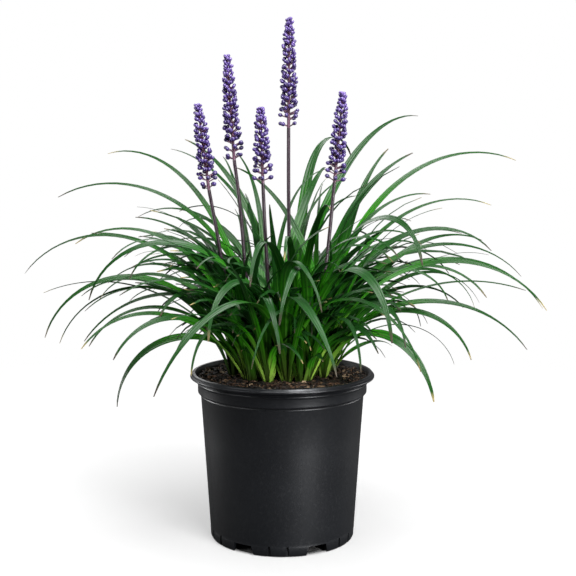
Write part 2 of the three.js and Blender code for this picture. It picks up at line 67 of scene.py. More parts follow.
POT_HEIGHT = 150
RIM_RADIUS = 82.5
LIP_RADIUS = 78  # of the lip's inner edge
COLLAR_RADIUS = 75.7
SHOULDER_RADIUS = 73
LEDGE_HEIGHT = 132  # of the collar's underside
SHOULDER_HEIGHT = LEDGE_HEIGHT - 1.2
FOOT_RADIUS = 65.2
FOOT_HEIGHT = 8.5
WALL = 1.6
FLOOR = 2
BASE_RISE = 9.8  # how far the floor is raised inside the foot
NOTCHES = 6  # drain notches round the foot
FIRST_NOTCH = -32  # degrees round from the front
NOTCH_WIDTH = 17
NOTCH_FLARE = 2  # how much further each side of a notch leans out at the bottom
RIB_OFFSETS = (-8, 6)  # grooves in each foot, degrees from its middle
RIB_WIDTH = 3.4
RIB_DEPTH = 2

SOIL_EDGE = 145.6  # height of the soil at the wall
SOIL_MOUND = 1.9  # how much higher it is in the middle
SOIL_RADIUS = 75
LUMP = 0.5  # height of its lumps
CRUMB_SIZE = 3.2  # of the roughness on top of them
CRUMB_HEIGHT = 0.9

CROWN_RADIUS = 6
CROWN_BOTTOM = 124  # height of the bottom of a crown's hole
CROWN_TOP = 159

ROOT_HEIGHT = 147  # height at which blades start inside their crown
ROOT_OFFSET = 5.1  # how far from their crown's axis level blades would start
ROOT_LEAN = 0.02  # how much nearer for each degree of their launch
SPINE_STEPS = 48  # straight steps in a blade's middle line
BASE_WIDTH = 0.55  # share of a blade's full width at its base
SLIM_WIDTH = 4  # a blade this wide narrows evenly towards its tip
FULL_WIDTH = 10  # one this wide keeps its width for longer
TAPER = (1.2, 2.2)  # powers of the two tapers
FOLD = (35, 10)  # how far each half of a blade stands up, at its base and past its middle
DRAWN_BLADES = 5  # blades that each tuft may have besides its listed ones
TRIES = 4  # draws for each, at most, until the tuft has room
OUTER_TUFT = 25  # tufts further than this from the pot's axis lean outwards

BLANK_LENGTH = 240  # of the straight leaf that every leaf is laid out from
BLANK_WIDTH = 8
LEAF_THICKNESS = 0.6
TIP_SHARE = 0.1  # share of the width left at the very tip
BLUNTNESS = 0.55  # how full the last stretch of a leaf stays
FULLER = 1.12  # how much wider a finished leaf is than its solid
ROLL = 45  # how far a leaf that arches sideways rolls its face to the front
ROLL_SHARE = 0.6  # share of that which it takes, against its solid's own twist

# Slim leaves fill the clump: more in each tuft, and shoots that stand in the soil between the crowns.
FILL_LEAVES = 9  # in each tuft
SHOOTS = 26
SHOOT_LEAVES = 5
SHOOT_SPACING = 6.5
SHOOT_REACH = 44  # how far from the pot's axis they stand
FRONT_SHARE = 0.72  # share of its drawn length that a slim leaf keeps at the clump's front
BACK_SHARE = 1.14  # and at its back
CLUMP_DEPTH = 60  # from front to back

SCAPE_RADIUS = 1.8
SCAPE_TAPER = 0.85  # share of that radius left at the top
SCAPE_BOTTOM = 130  # height of the bottom of a scape's hole

# Flower spikes. Pairs are the values at the foot and at the tip of a spike.
JOINT = 0.05  # between a stem and its spike
AXIS_RADII = (1.45, 1.2, 0.9, 0.5)
BUD_SIZE = (4.9, 3.5)
BUD_REACH = (10, 7.2)  # from the spike's axis to the end of a bud
BUD_CLIMB = (32, 55)  # degrees up from square to the axis
STALK_THICKNESS = (0.8, 0.55)
BUD_SINK = 1.9  # how much nearer the axis some buds end
LOOSE_HEIGHT = 13  # buds under this all reach out in full
LOOSE_DROOP = 10  # and climb this much less
TOP_SHARE = 0.72  # from here up, a spike narrows to a point
TOP_NARROWING = 2.4
BUNCH_GAP = (1.55, 1.25)  # height from each bunch of buds to the next
GOLDEN_ANGLE = 137.508  # and the turn round the spike
BUNCH_SPREAD = 26  # between the buds of a bunch

# -------- small helpers


def mix(low, high, share):
    """The value a share of the way from low to high."""
    return low + (high - low) * share


def smooth(t):
    """0 to 1 with a soft start and end."""
    t = np.clip(t, 0, 1)
    return t * t * (3 - 2 * t)


def activate(piece):
    """Makes a piece the only selected object."""
    bpy.ops.object.select_all(action="DESELECT")
    piece.select_set(True)
    bpy.context.view_layer.objects.active = piece


def pick(piece, chosen):
    """Opens a piece for editing with only those vertices selected whose place passes the test."""
    mesh = piece.data
    bpy.ops.object.mode_set(mode="OBJECT")
    for parts in (mesh.vertices, mesh.edges, mesh.polygons):
        parts.foreach_set("select", [False] * len(parts))
    mesh.vertices.foreach_set("select", [bool(chosen(v.co)) for v in mesh.vertices])
    bpy.ops.object.mode_set(mode="EDIT")


def close_edit():
    bpy.ops.object.mode_set(mode="OBJECT")


def anywhere(place):
    return True


def resize(piece, chosen, factors, centre=(0, 0, 0)):
    """Scales the vertices that pass a test about a centre, and leaves them picked."""
    pick(piece, chosen)
    bpy.ops.transform.resize(value=factors, center_override=centre)


def on_ridge(place, step, every):
    """Whether a point off the axis stands on one of every so many steps round it."""
    turn = math.degrees(math.atan2(place.x, place.y))
    return place.xy.length > 1e-6 and round(turn / step) % every == 0


def apply_modifier(piece, kind, **settings):
    """Adds a modifier to a piece and applies it."""
    activate(piece)
    modifier = piece.modifiers.new(kind.title(), kind)
    for name, value in settings.items():
        setattr(modifier, name, value)
    bpy.ops.object.modifier_apply(modifier=modifier.name)


def soften(piece, angle):
    """Smooth shading, with a crease where faces meet at more than an angle."""
    activate(piece)
    bpy.ops.object.shade_smooth_by_angle(angle=math.radians(angle))


def settle(piece):
    """Moves an object's place, turn and size into its mesh."""
    activate(piece)
    bpy.ops.object.transform_apply(location=True, rotation=True, scale=True)


def joined(name, parts):
    """One piece from several objects."""
    piece = parts[0]
    activate(piece)
    for part in parts:
        part.select_set(True)
    bpy.ops.object.join()
    piece.name = piece.data.name = name
    return piece


def copy_of(template, place):
    """A copy of a template with a mesh of its own, moved by a matrix."""
    copy = template.copy()
    copy.data = template.data.copy()
    copy.data.transform(place)
    bpy.context.collection.objects.link(copy)
    return copy


def set_tone(piece, value):
    """Gives every point of a piece the same tone, from 0 to 1, which its material reads."""
    mesh = piece.data
    tone = mesh.attributes.get("tone") or mesh.attributes.new("tone", "FLOAT", "POINT")
    tone.data.foreach_set("value", [value] * len(mesh.vertices))


def discard(*templates):
    for template in templates:
        bpy.data.objects.remove(template)


def finished(piece, material, replaced=()):
    """Dresses a piece and lets it ride on the plant's one body."""
    if material is not None:
        piece.data.materials.clear()
        piece.data.materials.append(material)
    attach(piece, "root")
    if replaced:
        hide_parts(*replaced)


def turned(name, outline, segments):
    """A round solid: a disc whose edge is extruded and resized from each point of an outline to the next.

    The outline is (radius, height) pairs, from the edge of a flat bottom to a top on the axis.
    """
    (radius, height), *rest = outline
    bpy.ops.mesh.primitive_circle_add(
        vertices=segments, radius=radius * MM, fill_type="TRIFAN", location=(0, 0, height * MM)
    )
    piece = bpy.context.object
    settle(piece)
    pick(piece, lambda place: place.xy.length > 1e-6)
    for next_radius, next_height in rest:
        rise = (next_height - height) * MM
        bpy.ops.mesh.extrude_region_move(TRANSFORM_OT_translate={"value": (0, 0, rise)})
        if next_radius == 0:
            bpy.ops.mesh.merge(type="CENTER")
        else:
            share = next_radius / radius
            bpy.ops.transform.resize(value=(share, share, 1), center_override=(0, 0, next_height * MM))
        radius, height = next_radius, next_height
    pick(piece, anywhere)
    bpy.ops.mesh.normals_make_consistent(inside=False)
    close_edit()
    piece.name = name
    return piece


# -------- nodes of the materials


def add(tree, kind, settings=(), **inputs):
    """A shader node with its settings, and with a value or a link for each named input."""
    node = tree.nodes.new("ShaderNode" + kind)
    for name, value in dict(settings).items():
        setattr(node, name, value)
    for name, value in inputs.items():
        connect(tree, node.inputs[name.replace("_", " ")], value)
    return node


def connect(tree, socket, value):
    if isinstance(value, bpy.types.NodeSocket):
        tree.links.new(value, socket)
    else:
        socket.default_value = value


def own_place(tree):
    """A point's place in the plant's own frame, in metres."""
    return add(tree, "TexCoord").outputs["Object"]


def own_height(tree):
    return add(tree, "SeparateXYZ", Vector=own_place(tree)).outputs[2]


def own_tone(tree):
    """The tone that set_tone gave the piece."""
    return add(tree, "Attribute", {"attribute_name": "tone"}).outputs["Fac"]


def calculate(tree, operation, *values):
    node = add(tree, "Math", {"operation": operation})
    for socket, value in zip(node.inputs, values):
        connect(tree, socket, value)
    return node.outputs[0]


def blend(tree, share, first, second, how="MIX"):
    """Two colours mixed by a share."""
    node = add(tree, "Mix", {"data_type": "RGBA", "blend_type": how})
    connect(tree, node.inputs[0], share)
    connect(tree, node.inputs[6], first)
    connect(tree, node.inputs[7], second)
    return node.outputs[2]


def tinted(tree, colour, tint, mask, strength):
    """A colour with a tint over it where a mask is."""
    return blend(tree, calculate(tree, "MULTIPLY", mask, strength), colour, tint)


def ramp(tree, share, stops):
    """A colour that runs through stops of (position, (red, green, blue))."""
    node = add(tree, "ValToRGB", Fac=share)
    elements = node.color_ramp.elements
    while len(elements) < len(stops):
        elements.new(1)
    for element, (position, colour) in zip(elements, stops):
        element.position = position
        element.color = (*colour, 1)
    return node.outputs[0]


SOFTLY = {"interpolation_type": "SMOOTHSTEP"}  # settings of a Map Range node with a soft start and end


def rescaled(tree, value, low, high, new_low=0.0, new_high=1.0):
    node = add(tree, "MapRange", Value=value, From_Min=low, From_Max=high, To_Min=new_low, To_Max=new_high)
    return node.outputs[0]


def effect(name, **inputs):
    """An empty node group that makes a mask: (tree, its inputs' node, its mask's node)."""
    tree = bpy.data.node_groups.new(name, "ShaderNodeTree")
    for label, default in inputs.items():
        socket = tree.interface.new_socket(label, in_out="INPUT", socket_type="NodeSocketFloat")
        socket.default_value = default
    tree.interface.new_socket("Mask", in_out="OUTPUT", socket_type="NodeSocketFloat")
    return tree, tree.nodes.new("NodeGroupInput"), tree.nodes.new("NodeGroupOutput")


def mottle_effect():
    """Soft uneven patches over a surface, from noise on the piece's own coordinates."""
    tree, given, result = effect("mottle", Size=1.0, Low=0.3, High=0.7, Detail=3.0)
    scale = calculate(tree, "DIVIDE", 1 / MM, given.outputs["Size"])
    patches = add(tree, "TexNoise", Vector=own_place(tree), Scale=scale, Detail=given.outputs["Detail"])
    mask = rescaled(tree, patches.outputs[0], given.outputs["Low"], given.outputs["High"])
    tree.links.new(mask, result.inputs["Mask"])
    return tree


def vein_effect():
    """Fine parallel veins that run the length of a leaf, from its UV map: u is across and v along."""
    tree, given, result = effect("veins", Count=3.0, Sway=0.12)
    where = add(tree, "UVMap", {"uv_map": "UVMap"}).outputs[0]
    stretched = add(tree, "Mapping", Vector=where, Scale=(3.0, 9.0, 1.0)).outputs[0]
    drift = add(tree, "TexNoise", Vector=stretched, Scale=1.0, Detail=2.0).outputs[0]
    across = add(tree, "SeparateXYZ", Vector=where).outputs[0]
    swayed = calculate(tree, "MULTIPLY_ADD", drift, given.outputs["Sway"], across)
    turns = calculate(tree, "MULTIPLY", swayed, given.outputs["Count"])
    wave = calculate(tree, "SINE", calculate(tree, "MULTIPLY", turns, 2 * math.pi))
    tree.links.new(rescaled(tree, wave, -1.0, 1.0), result.inputs["Mask"])
    return tree


MOTTLE = mottle_effect()
VEINS = vein_effect()


def use(tree, group, **values):
    """Places an effect in a material with its own values, and gives its mask."""
    node = tree.nodes.new("ShaderNodeGroup")
    node.node_tree = group
    for name, value in values.items():
        node.inputs[name].default_value = value
    return node.outputs[0]


def new_material(name, **plain):
    """A material with a Principled surface whose constant values are set on its own sockets."""
    material = bpy.data.materials.new(name)
    material.use_nodes = True
    tree = material.node_tree
    surface = tree.nodes["Principled BSDF"]
    for label, value in plain.items():
        surface.inputs[label.replace("_", " ")].default_value = value
    return material, tree, surface


def dress(tree, surface, colour, roughness, bumps, depth):
    """Gives a surface its colour, its roughness unless that is constant, and bumps of a depth."""
    tree.links.new(colour, surface.inputs["Base Color"])
    if roughness is not None:
        tree.links.new(roughness, surface.inputs["Roughness"])
    bump = add(tree, "Bump", Height=bumps, Distance=depth * MM)
    tree.links.new(bump.outputs[0], surface.inputs["Normal"])


def camera_ray(tree):
    """1 for what the camera sees, 0 for what lights and shadows meet."""
    return add(tree, "LightPath").outputs["Is Camera Ray"]


def mix_shaders(tree, share, first, second, output):
    """Links two shaders, mixed by a share, to an output."""
    both = add(tree, "MixShader", Fac=share)
    tree.links.new(first.outputs[0], both.inputs[1])
    tree.links.new(second.outputs[0], both.inputs[2])
    tree.links.new(both.outputs[0], tree.nodes[output].inputs["Surface"])


# -------- materials


def pot_plastic():
    """Black moulded plastic: a satin skin with a fine grain and faint uneven wear."""
    material, tree, surface = new_material("pot_plastic", Specular_Tint=(0.96, 0.97, 1.0, 1))
    clouds = use(tree, MOTTLE, Size=38.0)
    scuffs = use(tree, MOTTLE, Size=2.4, Low=0.52, High=0.78, Detail=6.0)
    grain = use(tree, MOTTLE, Size=0.5, Detail=2.0)
    colour = ramp(tree, clouds, [(0, (0.0036, 0.0042, 0.0054)), (1, (0.0060, 0.0068, 0.0084))])
    dusted = tinted(tree, colour, (0.03, 0.03, 0.03, 1), scuffs, 0.08)
    polish = rescaled(tree, own_height(tree), (LEDGE_HEIGHT - 3) * MM, (POT_HEIGHT - 8) * MM, 0.0, 0.06)
    rough = calculate(tree, "SUBTRACT", rescaled(tree, scuffs, 0.0, 1.0, 0.4, 0.5), polish)
    dress(tree, surface, dusted, rough, grain, 0.006)
    return material


def bark_mix():
    """The bed under the bark chips: nearly black, with brown specks. Its darkness is partly the mix's own
    dark colour and partly painted shade between the chips.
    """
    material, tree, surface = new_material("bark_mix")
    crumbs = use(tree, MOTTLE, Size=3.2, Low=0.38, High=0.62, Detail=6.0)
    specks = use(tree, MOTTLE, Size=1.1, Low=0.58, High=0.66, Detail=2.0)
    # Near black: partly the bark mix's own colour, partly painted shade between the chips.
    stops = [(0, (0.004, 0.0025, 0.0015)), (0.6, (0.018, 0.010, 0.005)), (1, (0.045, 0.024, 0.012))]
    colour = ramp(tree, crumbs, stops)
    speckled = tinted(tree, colour, (0.14, 0.085, 0.05, 1), specks, 0.5)
    dress(tree, surface, speckled, rescaled(tree, crumbs, 0.0, 1.0, 0.95, 0.75), crumbs, 1.2)
    return material


def bark_chip():
    """Bark chips: each from dark brown to tan by its tone, streaked along its grain."""
    material, tree, surface = new_material("bark_chip")
    streaks = use(tree, MOTTLE, Size=0.9, Detail=5.0)
    dull = [(0, (0.005, 0.003, 0.002)), (0.4, (0.014, 0.007, 0.0035)), (0.7, (0.055, 0.026, 0.012))]
    bright = [(0.9, (0.17, 0.09, 0.045)), (1, (0.55, 0.40, 0.25))]
    colour = ramp(tree, own_tone(tree), dull + bright)
    dark = blend(tree, 1.0, colour, (0.45, 0.42, 0.40, 1), "MULTIPLY")
    grained = blend(tree, streaks, dark, colour)
    dress(tree, surface, grained, rescaled(tree, streaks, 0.0, 1.0, 0.9, 0.65), streaks, 0.35)
    return material


def leaf_skin(name, base, dark, light, keel):
    """One side of a leaf: dark to light green by its tone, duller further out. At its base it is
    yellow-green, painted nearly black on darker-toned leaves as shade deep in the clump.

    Veins run along it on either side of its keel. Its very tip is dry: brown if it is dark, tan if light.
    """
    material, tree, surface = new_material(name, Specular_IOR_Level=0.2)
    uv = add(tree, "SeparateXYZ", Vector=add(tree, "UVMap", {"uv_map": "UVMap"}).outputs[0])
    across, along = uv.outputs[0], uv.outputs[1]
    tone = own_tone(tree)
    veins = use(tree, VEINS)
    patches = use(tree, MOTTLE, Size=14.0)
    green = blend(tree, tone, (*dark, 1), (*light, 1))
    patchy = tinted(tree, green, (*light, 1), patches, 0.3)
    streaked = tinted(tree, patchy, (*dark, 1), veins, 0.8)
    from_keel = calculate(tree, "ABSOLUTE", calculate(tree, "SUBTRACT", across, 0.5))
    on_keel = rescaled(tree, from_keel, 0.07, 0.02)
    lined = tinted(tree, streaked, (*keel, 1), on_keel, 0.7)
    # Painted shade: on darker-toned leaves the base is painted nearly black, as shade deep in the clump;
    # lighter-toned ones keep their yellow-green base.
    out_of_painted_shade = rescaled(tree, tone, 0.5, 0.85)
    shaded = [0.07 * part for part in base]
    foot = blend(tree, out_of_painted_shade, (*shaded, 1), (*base, 1))
    above_base = add(tree, "MapRange", SOFTLY, Value=along, From_Max=0.36)
    coloured = blend(tree, above_base.outputs[0], foot, lined)
    duller = tinted(tree, coloured, (0.006, 0.031, 0.007, 1), rescaled(tree, along, 0.33, 0.62), 0.9)
    dry = blend(tree, rescaled(tree, tone, 0.5, 0.8), (0.05, 0.04, 0.028, 1), (0.30, 0.24, 0.10, 1))
    tipped = blend(tree, rescaled(tree, along, 0.95, 0.985), duller, dry)
    dress(tree, surface, tipped, rescaled(tree, patches, 0.0, 1.0, 0.27, 0.38), veins, 0.16)
    return material


def leaf_skins():
    """The upper and the under side of every leaf."""
    upper = leaf_skin(
        "leaf_upper",
        base=(0.33, 0.56, 0.08),
        dark=(0.006, 0.066, 0.001),
        light=(0.046, 0.34, 0.005),
        keel=(0.08, 0.26, 0.03),
    )
    under = leaf_skin(
        "leaf_under",
        base=(0.36, 0.60, 0.10),
        dark=(0.008, 0.076, 0.001),
        light=(0.050, 0.31, 0.006),
        keel=(0.12, 0.34, 0.04),
    )
    return upper, under


def sheath():
    """The wrapped leaf bases of a crown: dull yellow-green, brown at the soil."""
    material, tree, surface = new_material("sheath", Roughness=0.5)
    risen = rescaled(tree, own_height(tree), ROOT_HEIGHT * MM, CROWN_TOP * MM)
    patches = use(tree, MOTTLE, Size=2.5, Low=0.35, High=0.65, Detail=4.0)
    stops = [(0, (0.016, 0.012, 0.006)), (0.4, (0.02, 0.035, 0.006)), (1, (0.02, 0.06, 0.005))]
    colour = ramp(tree, risen, stops)
    shaded = tinted(tree, colour, (0.02, 0.04, 0.008, 1), patches, 0.5)
    dress(tree, surface, shaded, None, patches, 0.2)
    return material


def flower_stem():
    """Stems and stalks: aubergine with mauve streaks, darker low down, and pinker by their tone."""
    material, tree, surface = new_material("flower_stem", Roughness=0.36)
    long_way = add(tree, "Mapping", Vector=own_place(tree), Scale=(1.0, 1.0, 0.06)).outputs[0]
    streaks = add(tree, "TexNoise", Vector=long_way, Scale=1400.0, Detail=3.0).outputs[0]
    stops = [(0.3, (0.014, 0.007, 0.012)), (0.55, (0.030, 0.015, 0.025)), (0.8, (0.085, 0.052, 0.068))]
    skin = ramp(tree, streaks, stops)
    lightness = rescaled(tree, own_height(tree), 0.2, 0.34, 0.35, 1.0)
    shaded = blend(tree, lightness, (0.010, 0.005, 0.008, 1), skin)
    pinker = tinted(tree, shaded, (0.19, 0.085, 0.14, 1), own_tone(tree), 0.6)
    dress(tree, surface, pinker, None, streaks, 0.12)
    return material


def flower_bud():
    """Buds: violet with a waxy bloom, from nearly black to lavender by their tone."""
    material, tree, surface = new_material("flower_bud", Coat_Weight=0.4, Coat_Roughness=0.2)
    bloom = use(tree, MOTTLE, Size=1.3, Low=0.35)
    stops = [(0, (0.017, 0.006, 0.072)), (0.5, (0.044, 0.020, 0.14)), (1, (0.12, 0.066, 0.27))]
    colour = ramp(tree, own_tone(tree), stops)
    waxy = tinted(tree, colour, (0.16, 0.11, 0.32, 1), bloom, 0.25)
    dress(tree, surface, waxy, rescaled(tree, bloom, 0.0, 1.0, 0.3, 0.45), bloom, 0.08)
    return material


# -------- pot


def inner_wall():
    return [
        (FOOT_RADIUS - WALL, BASE_RISE + FLOOR),
        (SHOULDER_RADIUS - WALL, SHOULDER_HEIGHT),
        (COLLAR_RADIUS - WALL - 0.1, LEDGE_HEIGHT + 3),
        (COLLAR_RADIUS - WALL, 139.5),
        (COLLAR_RADIUS - 1, 143),
        (LIP_RADIUS - 0.3, 148.7),
    ]


def foot_cutter(bottom_width, top_width, height, start_radius, angle):
    """A bar that runs outwards from a start radius, wider at its bottom, turned round to its angle."""
    below = 2
    reach = 20
    bpy.ops.mesh.primitive_cube_add(size=1, location=(0, 0, 0))
    cutter = bpy.context.object
    resize(cutter, anywhere, (top_width * MM, reach * MM, (height + below) * MM))
    bpy.ops.transform.translate(value=(0, -(start_radius + reach / 2) * MM, (height - below) / 2 * MM))
    lowest = bottom_width + (bottom_width - top_width) * below / height
    resize(cutter, lambda place: place.z < 0, (lowest / top_width, 1, 1))
    close_edit()
    cutter.data.transform(Matrix.Rotation(math.radians(angle), 4, "Z"))
    return cutter


def beside(radius, *points):
    """Points of an outline whose radii are measured from another radius."""
    return [(radius + out, height) for out, height in points]


def outer_wall():
    """The pot's outside, from under its raised floor to the lip's inner edge."""
    under = beside(FOOT_RADIUS, (-4.2, BASE_RISE), (-3.8, BASE_RISE - 0.4), (-3.4, 0.4), (-3, 0), (-2, 0))
    skirt = beside(FOOT_RADIUS, (-1.1, 0.4), (-0.2, 2.2), (0.12, FOOT_HEIGHT - 0.4))
    step = beside(FOOT_RADIUS, (0.1, FOOT_HEIGHT + 0.1), (0.02, FOOT_HEIGHT + 0.7))
    wall = [
        (mix(FOOT_RADIUS, SHOULDER_RADIUS, share), mix(FOOT_HEIGHT, SHOULDER_HEIGHT, share))
        for share in (0.02, 0.33, 0.67)
    ]
    shoulder = beside(
        SHOULDER_RADIUS,
        (0, SHOULDER_HEIGHT - 2),
        (0.3, SHOULDER_HEIGHT - 1.3),
        (0.35, SHOULDER_HEIGHT - 0.7),
        (0.05, SHOULDER_HEIGHT),
        (0.4, SHOULDER_HEIGHT + 0.7),
    )
    ledge = beside(
        COLLAR_RADIUS,
        (-1.1, LEDGE_HEIGHT - 0.15),
        (-0.5, LEDGE_HEIGHT + 0.1),
        (-0.1, LEDGE_HEIGHT + 0.6),
        (0, LEDGE_HEIGHT + 1.4),
    )
    bead = beside(COLLAR_RADIUS, (0, 139.8), (0.15, 140.3), (0.7, 140.8), (1, 141.4), (0.9, 142.1))
    groove = beside(COLLAR_RADIUS, (0.4, 142.6), (0.6, 143.3), (1.6, 144.2))
    rim = beside(RIM_RADIUS, (-3, 145), (-1, 145.6), (-0.3, 145.95), (-0.05, 146.4), (-0.05, 147.2))
    brow = beside(RIM_RADIUS, (-0.3, 147.7), (-1.1, 148.1), (-1.4, 148.5), (-1.6, 149.2), (-2, 149.7))
    top = [(RIM_RADIUS - 2.7, POT_HEIGHT), (LIP_RADIUS + 1.1, 149.8), (LIP_RADIUS + 0.6, POT_HEIGHT)]
    lip = beside(LIP_RADIUS, (0.2, 149.9), (-0.1, 149.5))
    body = [*under, *skirt, *step, *wall, *shoulder, *ledge]
    return [*body, *bead, *groove, *rim, *brow, *top, *lip]


def make_pot():
    outline = [*outer_wall(), *reversed(inner_wall()), (0, BASE_RISE + FLOOR)]
    pot = turned("nursery_pot", outline, 160)
    flared = NOTCH_WIDTH + 2 * NOTCH_FLARE
    inner = FOOT_RADIUS - RIB_DEPTH
    cutters = []
    for n in range(NOTCHES):
        angle = FIRST_NOTCH + 360 / NOTCHES * n
        cutters.append(foot_cutter(flared, NOTCH_WIDTH, FOOT_HEIGHT, FOOT_RADIUS - 7, angle))
        for offset in RIB_OFFSETS:
            at = angle + 180 / NOTCHES + offset
            cutters.append(foot_cutter(RIB_WIDTH, RIB_WIDTH / 2, FOOT_HEIGHT + 1, inner, at))
    tool = joined("foot_cutters", cutters)
    apply_modifier(pot, "BOOLEAN", object=tool, operation="DIFFERENCE", solver="EXACT")
    discard(tool)
    soften(pot, 38)
    finished(pot, pot_plastic(), ["pot"])


# -------- soil


def soil_height(x, y):
    """Height of the packed soil: a low mound with lumps."""
    mound = SOIL_EDGE + SOIL_MOUND * (1 - (x * x + y * y) / SOIL_RADIUS**2)
    lumps = math.sin(x / 6.1 + 1.3) * math.cos(y / 7.3) + 0.6 * math.sin((x + y) / 3.7)
    return mound + LUMP * lumps


def make_soil():
    """The filling of bark mix, with a rough top."""
    side = [(radius - GAP, height + GAP) for radius, height in inner_wall()[:5]]
    edge = COLLAR_RADIUS - GAP
    rings = 44
    above = 160
    top = [(edge * (1 - n / rings), above + n * 0.1) for n in range(rings)]
    soil = turned("bark_bed", [*side, *top, (0, above + 5)], 144)
    for vertex in soil.data.vertices:
        if vertex.co.z > (above - 1) * MM:
            x, y = vertex.co.x / MM, vertex.co.y / MM
            crumb = noise.fractal(Vector((x, y, 0)) / CRUMB_SIZE, 0.9, 2.1, 3)
            vertex.co.z = (soil_height(x, y) + CRUMB_HEIGHT * crumb) * MM
    soften(soil, 50)
    finished(soil, bark_mix(), ["soil"])


def chip_template(seed):
    """A rough block one unit across, for a bark chip."""
    bpy.ops.mesh.primitive_cube_add(size=1, location=(0, 0, 0))
    chip = bpy.context.object
    pick(chip, anywhere)
    bpy.ops.mesh.subdivide(number_cuts=1)
    bpy.ops.transform.vertex_random(offset=0.16, uniform=1.0, normal=0.0, seed=seed)
    resize(chip, lambda place: min(map(abs, place)) > 0.2, (0.82, 0.82, 0.75))
    close_edit()
    return chip


def scattered(name, count, sizes, seed, material):
    """Tilted chips all over the soil. Their sizes are ranges of length, width and depth."""
    draw = random.Random(seed)
    templates = [chip_template(seed + n) for n in range(4)]
    chips = []
    for _ in range(count):
        radius = (COLLAR_RADIUS - 3) * math.sqrt(draw.random())
        turn = draw.uniform(0, 2 * math.pi)
        x, y = radius * math.cos(turn), radius * math.sin(turn)
        length, width, depth = (draw.uniform(*size) for size in sizes)
        tilt = Matrix.Rotation(draw.gauss(0, 0.32), 4, "X") @ Matrix.Rotation(draw.gauss(0, 0.32), 4, "Y")
        spin = Matrix.Rotation(draw.uniform(0, math.pi), 4, "Z")
        z = soil_height(x, y) + depth * draw.uniform(0.1, 0.9)
        shift = Matrix.Translation(Vector((x, y, z)) * MM)
        size = Matrix.Diagonal((length * MM, width * MM, depth * MM, 1))
        chip = copy_of(draw.choice(templates), shift @ spin @ tilt @ size)
        set_tone(chip, draw.random())
        chips.append(chip)
    discard(*templates)
    piece = joined(name, chips)
    soften(piece, 35)
    finished(piece, material)


# -------- leaf blades

# A blade leaves its crown on a heading (0 is +X, 90 is +Y), climbs at its launch angle and bends over to
# its tip angle. A larger bend keeps it straight for longer, and sway swings its heading by the tip. Twist
# turns its face.
Blade = namedtuple("Blade", "heading length launch tip bend sway width twist")

# Each tuft: where its crown stands, and its listed blades without their twist.
TUFTS = [
    ((-38, 4), [
        (182, 269, 80, -53, 1.4, -4, 5.5),
        (170, 192, 88, -45, 1.3, 13, 5),
        (195, 236, 73, -74, 1.4, 0, 7),
        (190, 188, 88, -42, 1.8, -25, 5.5),
    ]),
    ((-30, -22), [
        (215, 166, 69, -60, 1.3, 2, 7),
        (188, 164, 84, -87, 0.8, 0, 9),
        (204, 180, 66, -50, 1.4, 10, 5.5),
        (179, 227, 80, -36, 1.8, 17, 5.5),
    ]),
    ((-12, -36), [
        (207, 186, 85, -31, 1.2, 0, 5.5),
        (265, 187, 74, -77, 1.7, 27, 8.5),
        (199, 101, 88, -9, 0.9, 65, 4.5),
        (194, 253, 88, -76, 1.5, 0, 7),
    ]),
    ((4, -38), [
        (263, 216, 77, -78, 2.1, 46, 8),
        (267, 228, 72, -74, 1.4, 46, 10),
        (233, 198, 88, -87, 1.6, 15, 8.5),
        (255, 262, 73, -65, 1.2, -38, 8.5),
    ]),
    ((22, -32), [
        (295, 235, 88, -78, 1.4, -4, 10),
        (322, 177, 75, -59, 1.4, -47, 6.5),
        (331, 264, 66, -57, 1.6, 20, 6),
        (9, 264, 78, -47, 1.3, 7, 5.5),
        (336, 227, 73, -54, 1.1, 7, 6),
        (270, 221, 83, -79, 1.9, -26, 8.5),
    ]),
    ((36, -16), [
        (336, 176, 73, -73, 1.3, 0, 8),
        (321, 169, 69, -77, 1.1, 0, 9),
        (336, 185, 87, -77, 1.8, 0, 6),
    ]),
    ((42, 8), [
        (20, 77, 56, -34, 1.2, 29, 4.5),
        (155, 232, 88, 10, 1.7, -28, 6),
        (21, 153, 88, -50, 1.8, 0, 4.5),
    ]),
    ((30, 30), [
        (17, 321, 83, -21, 1.6, 0, 6),
        (29, 239, 84, 20, 1.5, 0, 9),
        (3, 204, 84, -19, 1.9, 0, 5.5),
        (36, 226, 77, 34, 3.5, 0, 8.5),
        (4, 278, 71, -57, 1.2, 0, 6),
        (131, 314, 65, 6, 1.6, 0, 5),
    ]),
    ((8, 40), [
        (36, 192, 82, 0, 2.6, 0, 5),
        (46, 211, 88, 7, 1.9, 0, 4.5),
        (132, 278, 78, 14, 1.6, 0, 7),
        (157, 208, 80, 9, 1.2, 0, 5.5),
        (145, 245, 76, -29, 2.1, 18, 5.5),
        (91, 308, 76, -62, 4, -26, 9.5),
    ]),
    ((-18, 35), [
        (104, 278, 63, 11, 2.1, 0, 5.5),
        (174, 195, 77, 1, 1.8, 0, 6),
        (199, 211, 78, -54, 1, 0, 5.5),
        (184, 196, 60, -45, 1.5, 0, 5.5),
    ]),
    ((-34, 24), [
        (201, 147, 74, -46, 1.8, 0, 4.5),
        (198, 179, 61, -57, 1.4, 17, 5.5),
    ]),
    ((-14, -10), [
        (57, 271, 77, -1, 1.6, 21, 8),
        (47, 340, 69, -3, 2.6, 0, 8),
        (63, 220, 83, 2, 3.1, -22, 4.5),
    ]),
    ((12, -12), [
        (8, 200, 81, -50, 2.5, 0, 5),
        (252, 227, 77, -74, 2.3, 7, 8.5),
        (350, 241, 68, -49, 2.3, 0, 7),
        (317, 265, 76, -68, 2.2, -31, 9),
        (154, 154, 88, -39, 2.3, 0, 5),
    ]),
    ((14, 12), [
        (17, 221, 74, -8, 2.6, 0, 6),
        (349, 183, 88, -49, 2, 0, 5.5),
        (345, 225, 58, -54, 2.2, 0, 7),
        (13, 257, 71, -22, 2.2, -14, 5.5),
    ]),
    ((-12, 12), [
        (156, 284, 74, -15, 2.6, 0, 6),
        (165, 288, 81, -30, 1.7, 0, 5.5),
        (95, 256, 78, 22, 1.3, 19, 6),
    ]),
]


